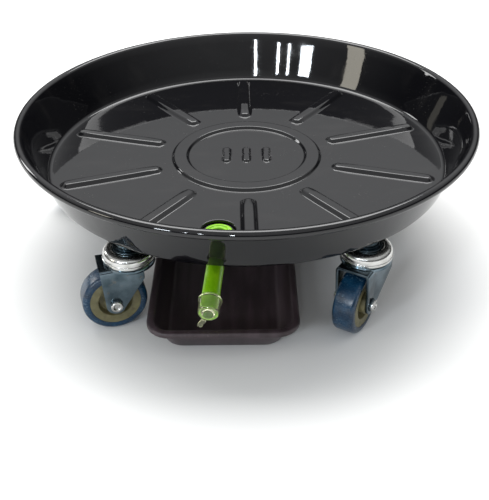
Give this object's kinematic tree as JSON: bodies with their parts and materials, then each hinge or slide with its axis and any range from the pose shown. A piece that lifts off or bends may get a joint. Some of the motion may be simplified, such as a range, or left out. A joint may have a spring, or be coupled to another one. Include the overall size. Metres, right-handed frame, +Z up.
{
  "type": "plant pot caddy",
  "caption": "Round pressed-steel caddy for a plant pot: a rimmed pan on swivel casters, with a capped drain spout and a loose water tray under it.",
  "frame": {"origin": "on the ground, under the centre of the pan", "axes": "+Z up; the drain spout and the open end of the water tray face -Y; +X is to the right as seen from the front"},
  "size_m": [0.38, 0.3798, 0.1208],
  "materials": {
    "pan_enamel": "gloss black stoved enamel on pressed steel",
    "zinc_steel": "bright zinc-plated pressed steel with a bluish passivation",
    "race_chrome": "polished plated steel",
    "drain_green": "lime green moulded plastic, semi-gloss",
    "cap_clear": "clear soft silicone",
    "gasket_black": "black rubber",
    "tray_plastic": "dark brown-black moulded plastic, fine matt grain",
    "hub_nylon": "olive-beige nylon",
    "tyre_blue": "blue polyurethane, smooth satin"
  },
  "bodies": {
    "pan": {"tray_pan": "pan_enamel", "weld_nuts": "zinc_steel", "kingpins": "zinc_steel", "race_cones": "zinc_steel", "drain_flange": "drain_green", "drain_gasket": "gasket_black", "lower_gasket": "gasket_black", "drain_spout": "drain_green"},
    "swivel_front_left": {"fork_front_left": "zinc_steel", "race_ring_front_left": "race_chrome", "bearing_balls_front_left": "race_chrome", "axle_sleeve_front_left": "zinc_steel", "axle_rivet_front_left": "zinc_steel", "axle_washers_front_left": "zinc_steel"},
    "wheel_front_left": {"hub_front_left": "hub_nylon", "tyre_front_left": "tyre_blue"},
    "swivel_front_right": {"fork_front_right": "zinc_steel", "race_ring_front_right": "race_chrome", "bearing_balls_front_right": "race_chrome", "axle_sleeve_front_right": "zinc_steel", "axle_rivet_front_right": "zinc_steel", "axle_washers_front_right": "zinc_steel"},
    "wheel_front_right": {"hub_front_right": "hub_nylon", "tyre_front_right": "tyre_blue"},
    "swivel_right": {"fork_right": "zinc_steel", "race_ring_right": "race_chrome", "bearing_balls_right": "race_chrome", "axle_sleeve_right": "zinc_steel", "axle_rivet_right": "zinc_steel", "axle_washers_right": "zinc_steel"},
    "wheel_right": {"hub_right": "hub_nylon", "tyre_right": "tyre_blue"},
    "swivel_rear": {"fork_rear": "zinc_steel", "race_ring_rear": "race_chrome", "bearing_balls_rear": "race_chrome", "axle_sleeve_rear": "zinc_steel", "axle_rivet_rear": "zinc_steel", "axle_washers_rear": "zinc_steel"},
    "wheel_rear": {"hub_rear": "hub_nylon", "tyre_rear": "tyre_blue"},
    "swivel_left": {"fork_left": "zinc_steel", "race_ring_left": "race_chrome", "bearing_balls_left": "race_chrome", "axle_sleeve_left": "zinc_steel", "axle_rivet_left": "zinc_steel", "axle_washers_left": "zinc_steel"},
    "wheel_left": {"hub_left": "hub_nylon", "tyre_left": "tyre_blue"},
    "drain_cap": {"drain_cap": "cap_clear"},
    "water_tray": {"water_tray": "tray_plastic"}
  },
  "joints": [
    {"name": "front_left_swivel", "type": "hinge", "parent": "pan", "child": "swivel_front_left", "pos_m": [-0.08934, -0.12297, 0.06], "axis": [0, 0, 1], "range_deg": [-80, 50]},
    {"name": "front_left_wheel", "type": "hinge", "parent": "swivel_front_left", "child": "wheel_front_left", "pos_m": [-0.10328, -0.12697, 0.025], "axis": [0.2756, -0.9613, 0], "continuous": true},
    {"name": "front_right_swivel", "type": "hinge", "parent": "pan", "child": "swivel_front_right", "pos_m": [0.08934, -0.12297, 0.06], "axis": [0, 0, 1], "continuous": true},
    {"name": "front_right_wheel", "type": "hinge", "parent": "swivel_front_right", "child": "wheel_front_right", "pos_m": [0.08188, -0.1354, 0.025], "axis": [0.8572, -0.515, 0], "continuous": true},
    {"name": "right_swivel", "type": "hinge", "parent": "pan", "child": "swivel_right", "pos_m": [0.14456, 0.04697, 0.06], "axis": [0, 0, 1], "continuous": true},
    {"name": "right_wheel", "type": "hinge", "parent": "swivel_right", "child": "wheel_right", "pos_m": [0.13378, 0.03727, 0.025], "axis": [0.6691, -0.7431, 0], "continuous": true},
    {"name": "rear_swivel", "type": "hinge", "parent": "pan", "child": "swivel_rear", "pos_m": [0, 0.152, 0.06], "axis": [0, 0, 1], "continuous": true},
    {"name": "rear_wheel", "type": "hinge", "parent": "swivel_rear", "child": "wheel_rear", "pos_m": [-0.0128, 0.14519, 0.025], "axis": [0.4695, -0.8829, 0], "continuous": true},
    {"name": "left_swivel", "type": "hinge", "parent": "pan", "child": "swivel_left", "pos_m": [-0.14456, 0.04697, 0.06], "axis": [0, 0, 1], "continuous": true},
    {"name": "left_wheel", "type": "hinge", "parent": "swivel_left", "child": "wheel_left", "pos_m": [-0.15888, 0.04924, 0.025], "axis": [-0.1564, -0.9877, 0], "continuous": true},
    {"name": "drain_cap_pull", "type": "slide", "parent": "pan", "child": "drain_cap", "axis": [-0.0858, -0.9805, -0.1771], "range_m": [0, 0.03]},
    {"name": "water_tray_slide", "type": "slide", "parent": "pan", "child": "water_tray", "axis": [0, -1, 0], "range_m": [0, 0.23]}
  ]
}
